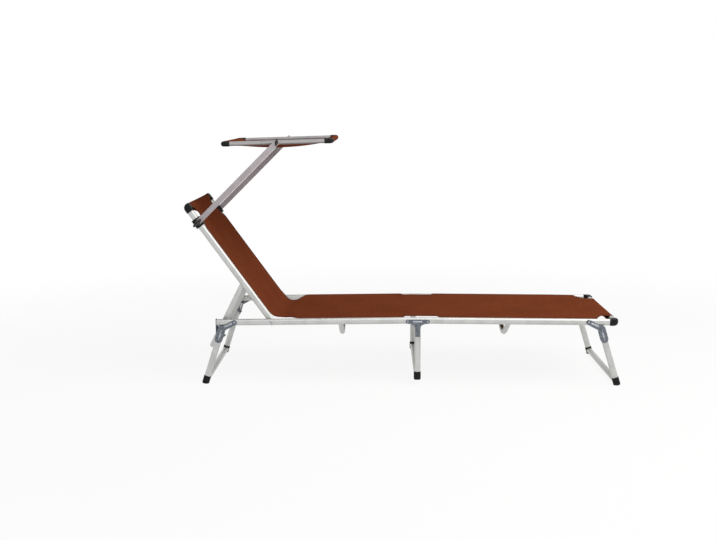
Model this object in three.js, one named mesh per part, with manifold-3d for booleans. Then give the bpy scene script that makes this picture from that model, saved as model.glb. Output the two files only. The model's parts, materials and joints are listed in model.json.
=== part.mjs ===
// Folding sun lounger with a tilting canopy, in millimetres, +Z up.
// X runs from the backrest hinge to the foot end, +Y is the left side, and the floor is Z = 0.
import * as THREE from 'three';
import { mergeVertices } from 'three/addons/utils/BufferGeometryUtils.js';
import Module from 'manifold-3d';

const wasm = await Module();
wasm.setup();

// Frame rails: flat-oval tube, in two halves that meet over the middle leg
const railHeight = 25;
const railThickness = 15;
const tubeWall = 1.4;
const frameWidth = 570;
const rearOverhang = 211;
const middleStation = 559;
const footEndStation = 1324;
const railRearLevel = 239;
const railMiddleLevel = 249.5;
const railFootLevel = 245;
const railJointGap = 3;

// Running and resting gaps between pieces
const seatGap = 0.3;
const sideGap = 1.2;
const pinGap = 0.3;

// Fasteners
const rivetRadius = 3;
const rivetHeadRadius = 6;
const rivetHeadHeight = 1.6;
const legRivetRadius = 2.5;
const legRivetHeadRadius = 4.5;
const headRimShare = 0.8;
const headShoulderShare = 0.7;

// Legs and their zinc brackets
const rearLegStation = 142;
const footLegStation = 1209.5;
const legTopReach = 47;
const legFootReach = 116.5;
const legTopDrop = 20;
const legRailGap = 1;
const legDepth = 24;
const bracketThickness = 2.5;
const bracketWidth = 20;
const bracketLegLength = 62;
const bracketElbowShare = 0.3;
const bracketRimStart = 16;
const bracketRimDepth = 9;
const legBarRise = 18;
const footCapWall = 1.3;
const footCapLength = 31;
const footCapSole = 10;
const footCapRounding = 6;
const middleFootClearance = 19;
const middlePivotSpacing = 76.5;
const middlePivotDrop = 3.5;
const middleArmWidth = 16;
const middleStemWidth = 19;
const middleBracketDrop = 59;
const middleBracketFillet = 21;

// Bowed cross members under the fabric
const bowDiameter = 20;
const bowWall = 1.4;
const bowDepth = 94;
const rearBowStation = 262;
const footBowStation = 917;
const bowFlatShare = 0.3;
const bowTurnShare = 0.3;

// Moulded corner pieces and the end bars between them
const cornerLength = 34;
const cornerBarReach = 34;
const cornerBarWidth = 24;
const cornerMargin = 1;
const cornerRounding = 16;
const cornerNoseLevel = 5;
const cornerUpperRounding = 11;
const cornerLowerRounding = 28;
const cornerBevel = 3;
const endBarDiameter = 20;

// Backrest frame
const backrestAngle = 54;
const backrestLength = 554;
const hingeEndOverlap = 14;
const strutPivotReach = 185;
const clampHeadDistance = 84;

// Support strut behind the backrest and the ratchet bracket that it stands in
const strutWidth = 19;
const strutThickness = 12;
const strutLength = 275;
const strutAngle = 63.3;
const strutBarDiameter = 20;
const studReach = 199;
const studRadius = 4;
const studHeadRadius = 6;
const studClearance = 1.5;
const ratchetThickness = 2.5;
const ratchetEndMargin = 2;
const ratchetEdgeAngle = -50;
const ratchetToothDepth = 2.4;
const ratchetToothPitch = 14;
const ratchetToothCount = 3;
const ratchetPlateDepth = 13;
const ratchetShoulderHeight = 25;

// Canopy clamps, arms and frame
const clampLength = 36;
const clampDepth = 34;
const clampWall = 3.4;
const clampBevel = 2;
const armLength = 428;
const armAngle = 45;
const armWidth = 21;
const armThickness = 8;
const armBevel = 2;
const canopyLength = 426;
const canopyTilt = 1.8;
const canopyTubeDiameter = 17;
const canopyTubeWall = 1.2;
const canopyCornerLength = 34;
const canopyCornerBulge = 3;
const canopyBendRadius = 22;

// Clamp knobs and canopy wing screws
const wingBevelShare = 0.25;
const knobPinRadius = 4;
const knobHubRadius = 11;
const knobHubHeight = 8;
const knobWingLength = 40;
const knobWingWidth = 11;
const knobWingThickness = 8;
const knobWingAngle = 45;
const screwPinRadius = 3;
const screwHubRadius = 7;
const screwHubHeight = 5;
const screwWingLength = 26;
const screwWingWidth = 8;
const screwWingThickness = 5;
const screwWingAngle = 80;

// Woven fabric panels
const fabricThickness = 2;
const fabricLift = 12.5;
const fabricEdgeInset = 4.5;
const seatSag = 16;
const backrestSag = 8;
const canopySag = 24;
const hipGap = 26;
const backrestFabricStart = 30;
const notchDepth = 24;
const notchRamp = 10;
const hipNotchEnd = 104;
const middleNotchStart = 502;
const middleNotchEnd = 643;
const footNotchStart = 1243;
const clampNotchMargin = 14;
const fabricRowLength = 60;
const fabricColumns = 8;

// Smoothness of round shapes
const ovalSegments = 4;
const roundSegments = 7;
const pinSegments = 16;
const bowSteps = 20;
const bendSteps = 5;
const bevelSegments = 2;

// Sizes that follow from the ones above
const toRadians = THREE.MathUtils.degToRad;
const claspWidth = legDepth + (seatGap + bracketThickness) * 2;
const railOuterFace = frameWidth / 2;
const railInnerFace = railOuterFace - railThickness;
const railCentre = (railOuterFace + railInnerFace) / 2;
const bracketInnerFace = railOuterFace + seatGap;
const backrestOuterFace = railInnerFace - sideGap - rivetHeadHeight / 2;
const backrestCentre = backrestOuterFace - railThickness / 2;
const backrestInnerFace = backrestOuterFace - railThickness;
const strutCentre = backrestInnerFace - seatGap * 2 - strutThickness / 2;
const ratchetOuterFace = strutCentre + strutThickness / 2 + ratchetThickness + sideGap;
const clampReach = backrestLength - clampHeadDistance;
const clampOuterFace = backrestOuterFace + clampWall;
const armInnerFace = clampOuterFace + seatGap * 2;
const armOuterFace = armInnerFace + armThickness;
const canopyCornerRadius = (canopyTubeDiameter + canopyCornerBulge) / 2;
const canopyTubeCentre = armInnerFace - seatGap * 2 - canopyCornerRadius;
const rearTilt = Math.atan2(railMiddleLevel - railRearLevel, middleStation + rearOverhang);
const footTilt = Math.atan2(railMiddleLevel - railFootLevel, footEndStation - middleStation);
const hingeLevel = railMiddleLevel - middleStation * Math.tan(rearTilt);

const sides = [
  { label: 'left', sign: 1 },
  { label: 'right', sign: -1 },
];

// Finishes
const finishes = {
  aluminium: { color: 0xc3c5c0, roughness: 0.35, metalness: 0.9 },
  armMetal: { color: 0xb2aaac, roughness: 0.4, metalness: 0.8 },
  zinc: { color: 0x686c78, roughness: 0.45, metalness: 0.8 },
  plastic: { color: 0x232323, roughness: 0.6, metalness: 0 },
  fabric: { color: 0x6e3a24, roughness: 0.9, metalness: 0 },
};

function piece(name, finish, geometry) {
  const mesh = new THREE.Mesh(geometry, new THREE.MeshStandardMaterial(finishes[finish]));
  mesh.name = name;
  return mesh;
}

// A closed mesh as a solid for cutting and joining
function solid(geometry) {
  const bare = geometry.clone();
  bare.deleteAttribute('normal');
  bare.deleteAttribute('uv');
  const merged = mergeVertices(bare);
  return new wasm.Manifold(new wasm.Mesh({
    numProp: 3,
    vertProperties: new Float32Array(merged.getAttribute('position').array),
    triVerts: new Uint32Array(merged.getIndex().array),
  }));
}

function surface(body) {
  const mesh = body.getMesh();
  const geometry = new THREE.BufferGeometry();
  geometry.setAttribute('position', new THREE.BufferAttribute(new Float32Array(mesh.vertProperties), 3));
  geometry.setIndex(new THREE.BufferAttribute(new Uint32Array(mesh.triVerts), 1));
  geometry.computeVertexNormals();
  return geometry;
}

function joined(geometries) {
  return surface(geometries.map(solid).reduce((whole, next) => whole.add(next)));
}

function cut(geometry, tools) {
  return surface(tools.map(solid).reduce((whole, tool) => whole.subtract(tool), solid(geometry)));
}

// Cross-sections, with the deep side along X and the thickness along Y
function ovalOutline(outline, depth, thickness) {
  const radius = thickness / 2;
  const straight = depth / 2 - radius;
  outline.moveTo(-straight, -radius);
  outline.lineTo(straight, -radius);
  outline.absarc(straight, 0, radius, -Math.PI / 2, Math.PI / 2, false);
  outline.lineTo(-straight, radius);
  outline.absarc(-straight, 0, radius, Math.PI / 2, Math.PI * 1.5, false);
  return outline;
}

function ovalSection(depth, thickness, wall) {
  const section = ovalOutline(new THREE.Shape(), depth, thickness);
  if (wall) {
    section.holes.push(ovalOutline(new THREE.Path(), depth - wall * 2, thickness - wall * 2));
  }
  return section;
}

function roundSection(diameter, wall) {
  const section = new THREE.Shape();
  section.absarc(0, 0, diameter / 2, 0, Math.PI * 2, false);
  if (wall) {
    const bore = new THREE.Path();
    bore.absarc(0, 0, diameter / 2 - wall, 0, Math.PI * 2, false);
    section.holes.push(bore);
  }
  return section;
}

function straightTube(section, length, segments) {
  return new THREE.ExtrudeGeometry(section, { depth: length, bevelEnabled: false, curveSegments: segments });
}

// A flat-oval tube along +X from one station to another
function railTube(start, end) {
  const tube = straightTube(ovalSection(railHeight, railThickness, tubeWall), end - start, ovalSegments);
  return tube.rotateY(Math.PI / 2).translate(start, 0, 0);
}

// A straight bar across the lounger between its two side faces
function crossBar(section, halfWidth, segments = roundSegments) {
  const bar = straightTube(section, halfWidth * 2, segments);
  return bar.translate(0, 0, -halfWidth).rotateX(-Math.PI / 2);
}

// A pin along +Y with a domed head at its outer end
function pin(start, end, radius, headRadius, headHeight) {
  const points = [
    new THREE.Vector2(0, start),
    new THREE.Vector2(radius, start),
    new THREE.Vector2(radius, end),
    new THREE.Vector2(headRadius, end),
    new THREE.Vector2(headRadius * headRimShare, end + headHeight * headShoulderShare),
    new THREE.Vector2(0, end + headHeight),
  ];
  return new THREE.LatheGeometry(points, pinSegments);
}

// The bore for a pin through a piece that is at most two depths wide
function bore(radius, depth) {
  return new THREE.CylinderGeometry(radius + pinGap, radius + pinGap, depth * 2, pinSegments);
}

// A flat link with round ends between two points of the side view
function link(from, to, width, thickness, bevel = 0) {
  const length = Math.hypot(to.x - from.x, to.y - from.y);
  const outline = ovalSection(length + width - bevel * 2, width - bevel * 2, 0);
  const plate = new THREE.ExtrudeGeometry(outline, {
    depth: thickness - bevel * 2,
    bevelEnabled: bevel > 0,
    bevelSize: bevel,
    bevelThickness: bevel,
    bevelSegments,
    curveSegments: ovalSegments,
  });
  plate.translate(length / 2, 0, bevel).rotateX(Math.PI / 2).translate(0, thickness, 0);
  plate.rotateY(-Math.atan2(to.y - from.y, to.x - from.x));
  return plate.translate(from.x, 0, from.y);
}

const point = (x, z) => new THREE.Vector2(x, z);

// Adds the left and the right copy of a piece whose Y is measured outwards
function addPair(parent, name, finish, geometry) {
  for (const side of sides) {
    const mesh = piece(`${name}_${side.label}`, finish, geometry);
    mesh.scale.y = side.sign;
    parent.add(mesh);
  }
}

const lounger = new THREE.Group();

function frameGroup(station, level, tilt) {
  const group = new THREE.Group();
  group.position.set(station, 0, level);
  group.rotation.y = tilt;
  lounger.add(group);
  group.updateMatrixWorld();
  return group;
}

const rearHalf = frameGroup(0, hingeLevel, -rearTilt);
const footHalf = frameGroup(middleStation, railMiddleLevel, footTilt);
const rearRailEnd = (middleStation - railJointGap / 2) / Math.cos(rearTilt);
const footRailStart = railJointGap / 2;
const footRailEnd = (footEndStation - middleStation) / Math.cos(footTilt) - cornerLength - seatGap;
const middlePivotReach = middlePivotSpacing / 2;
const rearMiddlePivot = (middleStation - middlePivotReach) / Math.cos(rearTilt);

// Level of the rail's centre line above the floor at a station of either half
function railLevel(station) {
  const tilt = station < middleStation ? rearTilt : -footTilt;
  return railMiddleLevel + (station - middleStation) * Math.tan(tilt);
}

// Each rear rail carries its hinge pin, which passes through the backrest tube
function addRearRails() {
  const drilled = cut(railTube(-rearOverhang, rearRailEnd), [
    bore(rivetRadius, railThickness).translate(-rearLegStation, 0, 0),
    bore(rivetRadius, railThickness).translate(rearMiddlePivot, 0, -middlePivotDrop),
  ]).translate(0, railCentre, 0);
  const pinEnd = backrestInnerFace - seatGap;
  const hingePin = pin(pinEnd, railOuterFace - tubeWall / 2, rivetRadius, rivetHeadRadius, rivetHeadHeight + tubeWall / 2);
  addPair(rearHalf, 'rear_rail', 'aluminium', joined([drilled, hingePin]));
}

function addFootRails() {
  const legStation = (footLegStation - middleStation) / Math.cos(footTilt);
  const drilled = cut(railTube(footRailStart, footRailEnd), [
    bore(rivetRadius, railThickness).translate(middlePivotReach / Math.cos(footTilt), 0, -middlePivotDrop),
    bore(rivetRadius, railThickness).translate(legStation, 0, 0),
  ]).translate(0, railCentre, 0);
  addPair(footHalf, 'foot_rail', 'aluminium', drilled);
}

// A cross member that leaves the rails level and dips in a smooth bow
function bow() {
  const half = railInnerFace - seatGap;
  const left = new THREE.CubicBezierCurve3(
    new THREE.Vector3(0, half, 0),
    new THREE.Vector3(0, half * (1 - bowFlatShare), 0),
    new THREE.Vector3(0, half * bowTurnShare, -bowDepth),
    new THREE.Vector3(0, 0, -bowDepth),
  );
  const right = new THREE.CubicBezierCurve3(
    new THREE.Vector3(0, 0, -bowDepth),
    new THREE.Vector3(0, -half * bowTurnShare, -bowDepth),
    new THREE.Vector3(0, -half * (1 - bowFlatShare), 0),
    new THREE.Vector3(0, -half, 0),
  );
  const path = new THREE.CurvePath();
  path.add(left);
  path.add(right);
  return new THREE.ExtrudeGeometry(roundSection(bowDiameter, bowWall), {
    extrudePath: path,
    steps: bowSteps,
    curveSegments: roundSegments,
  });
}

function addBows() {
  const rearBow = piece('rear_bow', 'aluminium', bow());
  rearBow.position.x = rearBowStation;
  rearHalf.add(rearBow);
  const footBow = piece('foot_bow', 'aluminium', bow());
  footBow.position.x = footBowStation - middleStation;
  footHalf.add(footBow);
}

// A moulded corner in the plane of its frame, from the end of a side tube to the end of a cross bar
function corner(outerFace, tubeThickness, length) {
  const outer = outerFace + cornerMargin - cornerBevel;
  const inner = outerFace - tubeThickness - cornerMargin + cornerBevel;
  const end = length - cornerBevel;
  const barEdge = end - cornerBarWidth + cornerBevel * 2;
  const barEnd = outerFace - cornerBarReach + cornerBevel;
  const outline = new THREE.Shape();
  outline.moveTo(cornerBevel, inner);
  outline.lineTo(barEdge, inner);
  outline.lineTo(barEdge, barEnd);
  outline.lineTo(end, barEnd);
  outline.lineTo(end, outer - cornerRounding);
  outline.absarc(end - cornerRounding, outer - cornerRounding, cornerRounding, 0, Math.PI / 2, false);
  outline.lineTo(cornerBevel, outer);
  outline.closePath();
  const depth = railHeight + cornerMargin * 2;
  const block = new THREE.ExtrudeGeometry(outline, {
    depth: depth - cornerBevel * 2,
    bevelEnabled: true,
    bevelSize: cornerBevel,
    bevelThickness: cornerBevel,
    bevelSegments,
    curveSegments: ovalSegments,
  });
  block.translate(0, 0, cornerBevel - depth / 2);
  const half = depth / 2;
  const profile = new THREE.Shape();
  profile.moveTo(-half, -half);
  profile.lineTo(length - cornerLowerRounding, -half);
  profile.quadraticCurveTo(length, -half, length, cornerNoseLevel);
  profile.quadraticCurveTo(length, half, length - cornerUpperRounding, half);
  profile.lineTo(-half, half);
  profile.closePath();
  const width = cornerBarReach * 2;
  const rounding = new THREE.ExtrudeGeometry(profile, { depth: width, bevelEnabled: false, curveSegments: roundSegments });
  rounding.rotateX(Math.PI / 2).translate(0, outerFace - cornerBarReach + width, 0);
  return surface(solid(block).intersect(solid(rounding)));
}

function addFootEnd() {
  addPair(footHalf, 'foot_corner', 'plastic',
    corner(railOuterFace, railThickness, cornerLength).translate(footRailEnd + seatGap, 0, 0));
  const halfWidth = railOuterFace - cornerBarReach - seatGap;
  const bar = piece('foot_end_bar', 'aluminium', crossBar(roundSection(endBarDiameter, tubeWall), halfWidth));
  bar.position.x = footRailEnd + seatGap + cornerLength - cornerBarWidth / 2;
  footHalf.add(bar);
}

// One leg tube, standing from its foot to its top, with its outer wall drilled for rivets
function legTube(top, foot, rivets) {
  const length = top.distanceTo(foot) - footCapSole;
  const lean = Math.atan2(top.x - foot.x, top.y - foot.y);
  const tube = straightTube(ovalSection(legDepth, railThickness, tubeWall), length, ovalSegments);
  tube.translate(0, railCentre, footCapSole).rotateY(lean).translate(foot.x, 0, foot.y);
  const bores = rivets.map((at) => bore(legRivetRadius, railThickness / 2)
    .translate(at.x, railOuterFace, at.y));
  return cut(tube, bores);
}

// A moulded foot: a sleeve over the end of the leg, square to it, with its low edge cut level with the floor
function footCap(top, foot) {
  const lean = Math.atan2(top.x - foot.x, top.y - foot.y);
  const grow = (footCapWall + seatGap) * 2;
  const sleeve = straightTube(
    ovalSection(legDepth + grow, railThickness + grow, 0), footCapLength, ovalSegments);
  sleeve.translate(0, railCentre, 0).rotateY(lean).translate(foot.x, 0, foot.y);
  const pocket = straightTube(
    ovalSection(legDepth + seatGap * 2, railThickness + seatGap * 2, 0), footCapLength, ovalSegments);
  pocket.translate(0, railCentre, footCapSole - seatGap).rotateY(lean).translate(foot.x, 0, foot.y);
  const below = new THREE.BoxGeometry(legDepth * 4, frameWidth, legDepth * 4)
    .translate(foot.x, railCentre, foot.y - legDepth * 2);
  const edge = (legDepth + grow) / 2;
  const turn = edge - footCapRounding;
  const outline = new THREE.Shape();
  outline.moveTo(-edge, -footCapLength);
  outline.lineTo(edge, -footCapLength);
  outline.lineTo(edge, -footCapRounding);
  outline.quadraticCurveTo(edge, 0, turn, 0);
  outline.lineTo(-turn, 0);
  outline.quadraticCurveTo(-edge, 0, -edge, -footCapRounding);
  outline.closePath();
  const rounding = new THREE.ExtrudeGeometry(outline, {
    depth: railThickness * 2,
    bevelEnabled: false,
    curveSegments: ovalSegments,
  });
  rounding.rotateX(-Math.PI / 2).translate(0, railCentre - railThickness, 0).rotateY(lean)
    .translate(foot.x, 0, foot.y);
  return surface(solid(cut(sleeve, [pocket, below])).intersect(solid(rounding)));
}

// The bar between a pair of feet, of the same tube as the legs and turned with them
function addLegBar(parent, name, top, foot) {
  const along = top.clone().sub(foot).normalize().multiplyScalar(legBarRise).add(foot);
  const halfWidth = railInnerFace - footCapWall - seatGap * 2;
  const bar = piece(name, 'aluminium',
    crossBar(ovalSection(legDepth, railThickness, tubeWall), halfWidth, ovalSegments));
  bar.position.set(along.x, 0, along.y);
  bar.rotation.y = Math.atan2(top.x - foot.x, top.y - foot.y);
  parent.add(bar);
}

// The part of a bracket that clasps a leg from its top down: two rims along the tube's sides
function legRims(top, foot, start, end) {
  const lean = Math.atan2(top.x - foot.x, top.y - foot.y);
  const reach = (legDepth + bracketThickness) / 2 + seatGap;
  const depth = bracketRimDepth + bracketThickness / 2;
  return [-1, 1].map((way) => new THREE.BoxGeometry(bracketThickness, depth, end - start)
    .translate(way * reach, bracketInnerFace + bracketThickness / 2 - depth / 2, -(start + end) / 2)
    .rotateY(lean)
    .translate(top.x, 0, top.y));
}

function legRivet() {
  const start = railOuterFace - tubeWall * 2;
  const end = bracketInnerFace + bracketThickness - seatGap;
  return pin(start, end, legRivetRadius, legRivetHeadRadius, rivetHeadHeight);
}

function pivotRivet() {
  const start = railInnerFace + seatGap;
  const end = bracketInnerFace + bracketThickness - seatGap;
  return pin(start, end, rivetRadius, rivetHeadRadius, rivetHeadHeight);
}

// A folding pair of legs: splayed outwards, hung from a pivot on each rail by a cranked bracket
function addLegSet(name, station, outward) {
  const set = new THREE.Group();
  set.position.x = station;
  set.scale.x = outward;
  lounger.add(set);
  const pivot = point(0, railLevel(station));
  const top = point(legTopReach, pivot.y - legTopDrop);
  const foot = point(legFootReach, 0);
  const down = foot.clone().sub(top).normalize();
  const claspEnd = bracketLegLength - claspWidth / 2;
  const rivets = [claspWidth / 2, claspEnd]
    .map((reach) => down.clone().multiplyScalar(reach).add(top));
  const elbow = down.clone().multiplyScalar(bracketWidth * bracketElbowShare).add(top);
  const plates = [link(pivot, elbow, bracketWidth, bracketThickness),
    link(elbow, rivets[1], claspWidth, bracketThickness)];
  const bracket = joined([
    ...plates.map((plate) => plate.translate(0, bracketInnerFace, 0)),
    ...legRims(top, foot, bracketRimStart, claspEnd),
    pivotRivet().translate(pivot.x, 0, pivot.y),
    ...rivets.map((at) => legRivet().translate(at.x, 0, at.y)),
  ]);
  addPair(set, `${name}_bracket`, 'zinc', bracket);
  addPair(set, name, 'aluminium', legTube(top, foot, rivets));
  addPair(set, `${name}_foot`, 'plastic', footCap(top, foot));
  addLegBar(set, `${name}_bar`, top, foot);
}

// A T-shaped plate whose arms run into its stem in hollow curves
function teePlate() {
  const radius = middleArmWidth / 2;
  const stem = middleStemWidth / 2;
  const outline = new THREE.Shape();
  outline.moveTo(middlePivotReach, radius);
  outline.lineTo(-middlePivotReach, radius);
  outline.absarc(-middlePivotReach, 0, radius, Math.PI / 2, Math.PI * 1.5, false);
  outline.quadraticCurveTo(-stem, -radius, -stem, -radius - middleBracketFillet);
  outline.lineTo(-stem, -middleBracketDrop);
  outline.lineTo(stem, -middleBracketDrop);
  outline.lineTo(stem, -radius - middleBracketFillet);
  outline.quadraticCurveTo(stem, -radius, middlePivotReach, -radius);
  outline.absarc(middlePivotReach, 0, radius, -Math.PI / 2, Math.PI / 2, false);
  const plate = new THREE.ExtrudeGeometry(outline, {
    depth: bracketThickness,
    bevelEnabled: false,
    curveSegments: ovalSegments,
  });
  return plate.rotateX(Math.PI / 2).translate(0, bracketThickness, 0);
}

// The middle legs hang from a T bracket with one pivot on each half of the frame
function addMiddleLegs() {
  const centre = point(middleStation, railMiddleLevel - middlePivotDrop);
  const top = point(middleStation, railMiddleLevel - railHeight / 2 - legRailGap);
  const foot = point(middleStation, middleFootClearance);
  const pivots = [-1, 1].map((way) => {
    const station = middleStation + way * middlePivotReach;
    return point(station, railLevel(station) - middlePivotDrop);
  });
  const lowest = point(middleStation, centre.y - middleBracketDrop + middleStemWidth / 2);
  const rivets = [point(middleStation, (top.y + lowest.y) / 2), lowest];
  const bracket = joined([
    teePlate().translate(centre.x, bracketInnerFace, centre.y),
    ...pivots.map((at) => pivotRivet().translate(at.x, 0, at.y)),
    ...rivets.map((at) => legRivet().translate(at.x, 0, at.y)),
  ]);
  addPair(lounger, 'middle_bracket', 'zinc', bracket);
  addPair(lounger, 'middle_leg', 'aluminium', legTube(top, foot, rivets));
  addPair(lounger, 'middle_leg_foot', 'plastic', footCap(top, foot));
  addLegBar(lounger, 'middle_leg_bar', top, foot);
}

// Backrest: local X runs from the head to the hinge, and local Z points to its front
const backrest = frameGroup(0, hingeLevel, toRadians(backrestAngle));

function addBackrestFrame() {
  const headEnd = backrestLength - cornerLength - seatGap;
  const tube = cut(railTube(-headEnd, hingeEndOverlap), [
    bore(rivetRadius, railThickness),
    bore(rivetRadius, railThickness).translate(-strutPivotReach, 0, 0),
  ]).translate(0, backrestCentre, 0);
  addPair(backrest, 'backrest_tube', 'aluminium', tube);
  const cap = corner(backrestOuterFace, railThickness, cornerLength);
  const head = new THREE.Group();
  head.position.x = -headEnd - seatGap;
  head.scale.x = -1;
  backrest.add(head);
  addPair(head, 'head_corner', 'plastic', cap);
  const halfWidth = backrestOuterFace - cornerBarReach - seatGap;
  const bar = piece('head_bar', 'aluminium', crossBar(roundSection(endBarDiameter, tubeWall), halfWidth));
  bar.position.x = cornerLength - cornerBarWidth / 2;
  head.add(bar);
}

// Where a reach along the backrest lies in the side view
function onBackrest(reach) {
  const angle = toRadians(backrestAngle);
  return point(-reach * Math.cos(angle), hingeLevel + reach * Math.sin(angle));
}

const strutTop = onBackrest(strutPivotReach);
const strutFoot = point(
  strutTop.x - strutLength * Math.cos(toRadians(strutAngle)),
  strutTop.y - strutLength * Math.sin(toRadians(strutAngle)),
);

const studPoint = strutFoot.clone().sub(strutTop).setLength(studReach).add(strutTop);

// The strut's two arms turn on rivets in the backrest tubes, carry a stud each and share a bar at their lower end
function addStrut() {
  const innerFace = strutCentre - strutThickness / 2;
  const arm = link(strutTop, strutFoot, strutWidth, strutThickness, armBevel).translate(0, innerFace, 0);
  const rivet = pin(strutCentre, backrestOuterFace + seatGap, rivetRadius, rivetHeadRadius, rivetHeadHeight / 2);
  rivet.translate(strutTop.x, 0, strutTop.y);
  const stud = pin(strutCentre, ratchetOuterFace + seatGap, studRadius, studHeadRadius, rivetHeadHeight);
  stud.translate(studPoint.x, 0, studPoint.y);
  addPair(lounger, 'strut_arm', 'aluminium', joined([arm, rivet, stud]));
  const bar = piece('strut_bar', 'aluminium',
    crossBar(roundSection(strutBarDiameter, tubeWall), innerFace - seatGap));
  bar.position.set(strutFoot.x, 0, strutFoot.y);
  lounger.add(bar);
}

// A zinc bracket that closes the rail's rear end and turns inwards under it to a toothed plate for the strut's stud
function addRatchets() {
  const plateFace = ratchetOuterFace - ratchetThickness;
  const railEnd = point(-rearOverhang * Math.cos(rearTilt), railLevel(-rearOverhang));
  const underRail = railEnd.y - railHeight / 2;
  const endX = railEnd.x - seatGap - ratchetThickness / 2;
  const closingHeight = railHeight + ratchetEndMargin * 2;
  const closing = new THREE.BoxGeometry(ratchetThickness, railThickness, closingHeight)
    .translate(endX, railCentre, railEnd.y);
  const shoulderTop = underRail - ratchetEndMargin / 2;
  const shoulder = new THREE.BoxGeometry(ratchetThickness, railOuterFace - plateFace, ratchetShoulderHeight)
    .translate(endX, (railOuterFace + plateFace) / 2, shoulderTop - ratchetShoulderHeight / 2);
  const along = point(Math.cos(toRadians(ratchetEdgeAngle)), Math.sin(toRadians(ratchetEdgeAngle)));
  const below = point(along.y, -along.x);
  const notchRadius = studRadius + studClearance;
  const seat = below.clone().multiplyScalar(notchRadius - ratchetToothDepth).add(studPoint);
  const startReach = (endX - seat.x) / along.x;
  const endReach = ratchetToothPitch * (ratchetToothCount - 0.5);
  const at = (reach, depth) => along.clone().multiplyScalar(reach).add(seat)
    .add(below.clone().multiplyScalar(depth));
  const corners = [at(startReach, 0), at(endReach, 0), at(endReach, ratchetPlateDepth),
    point(endX, shoulderTop - ratchetShoulderHeight)];
  const plate = new THREE.ExtrudeGeometry(new THREE.Shape(corners), {
    depth: ratchetThickness,
    bevelEnabled: false,
  });
  plate.rotateX(Math.PI / 2).translate(0, ratchetOuterFace, 0);
  const notches = Array.from({ length: ratchetToothCount }, (_, step) => {
    const centre = at(step * ratchetToothPitch, ratchetToothDepth - notchRadius);
    return new THREE.CylinderGeometry(notchRadius, notchRadius, railThickness, pinSegments)
      .translate(centre.x, ratchetOuterFace, centre.y);
  });
  const bracket = cut(joined([closing, shoulder, plate]), notches);
  addPair(lounger, 'ratchet_bracket', 'zinc', bracket);
}

// Canopy clamps sit on the backrest tubes
function addClamps() {
  const depth = clampDepth - clampBevel * 2;
  const outline = new THREE.Shape();
  const halfLength = clampLength / 2 - clampBevel;
  outline.moveTo(-halfLength, -depth / 2);
  outline.lineTo(halfLength, -depth / 2);
  outline.lineTo(halfLength, depth / 2);
  outline.lineTo(-halfLength, depth / 2);
  outline.closePath();
  const innerFace = backrestInnerFace - clampWall;
  const width = clampOuterFace - innerFace;
  const block = new THREE.ExtrudeGeometry(outline, {
    depth: width - clampBevel * 2,
    bevelEnabled: true,
    bevelSize: clampBevel,
    bevelThickness: clampBevel,
    bevelSegments,
  });
  block.translate(0, 0, clampBevel).rotateX(-Math.PI / 2).translate(-clampReach, innerFace, 0);
  const channel = straightTube(
    ovalSection(railHeight + seatGap * 2, railThickness + seatGap * 2, 0), clampLength * 2, ovalSegments);
  channel.rotateY(Math.PI / 2).translate(-clampReach - clampLength, backrestCentre, 0);
  const knobHole = bore(knobPinRadius, clampWall).translate(-clampReach, clampOuterFace, 0);
  addPair(backrest, 'canopy_clamp', 'plastic', cut(block, [channel, knobHole]));
}

const clampPoint = onBackrest(clampReach);
const canopyPivot = point(
  clampPoint.x + armLength * Math.cos(toRadians(armAngle)),
  clampPoint.y + armLength * Math.sin(toRadians(armAngle)),
);

function addCanopyArms() {
  const arm = link(clampPoint, canopyPivot, armWidth, armThickness, armBevel).translate(0, armInnerFace, 0);
  const drilled = cut(arm, [
    bore(knobPinRadius, armThickness).translate(clampPoint.x, armInnerFace + armThickness / 2, clampPoint.y),
    bore(screwPinRadius, armThickness).translate(canopyPivot.x, armInnerFace + armThickness / 2, canopyPivot.y),
  ]);
  addPair(lounger, 'canopy_arm', 'armMetal', drilled);
}

// A hand screw: pin, round hub and a wing across it
function handScrew(pinStart, pinRadius, hubRadius, hubHeight, wingLength, wingWidth, wingThickness, wingAngle) {
  const hubStart = armOuterFace + seatGap;
  const shaft = pin(pinStart, hubStart, pinRadius, hubRadius, hubHeight);
  const reach = (wingLength - wingWidth) / 2;
  const way = point(Math.cos(toRadians(wingAngle)) * reach, Math.sin(toRadians(wingAngle)) * reach);
  const wing = link(way.clone().negate(), way, wingWidth, wingThickness, wingThickness * wingBevelShare);
  return joined([shaft, wing.translate(0, hubStart + hubHeight / 2, 0)]);
}

function addHandScrews() {
  const knob = handScrew(backrestOuterFace + clampWall / 2, knobPinRadius, knobHubRadius, knobHubHeight,
    knobWingLength, knobWingWidth, knobWingThickness, knobWingAngle);
  addPair(lounger, 'clamp_knob', 'plastic', knob.translate(clampPoint.x, 0, clampPoint.y));
  const screw = handScrew(canopyTubeCentre, screwPinRadius, screwHubRadius, screwHubHeight,
    screwWingLength, screwWingWidth, screwWingThickness, screwWingAngle);
  addPair(lounger, 'canopy_screw', 'plastic', screw.translate(canopyPivot.x, 0, canopyPivot.y));
}

// Canopy frame: local X runs from its rear to its front, through the pivot at zero
const canopy = frameGroup(canopyPivot.x, canopyPivot.y, -toRadians(canopyTilt));
const canopyTubeEnd = canopyLength / 2 - canopyCornerLength - seatGap;

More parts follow.
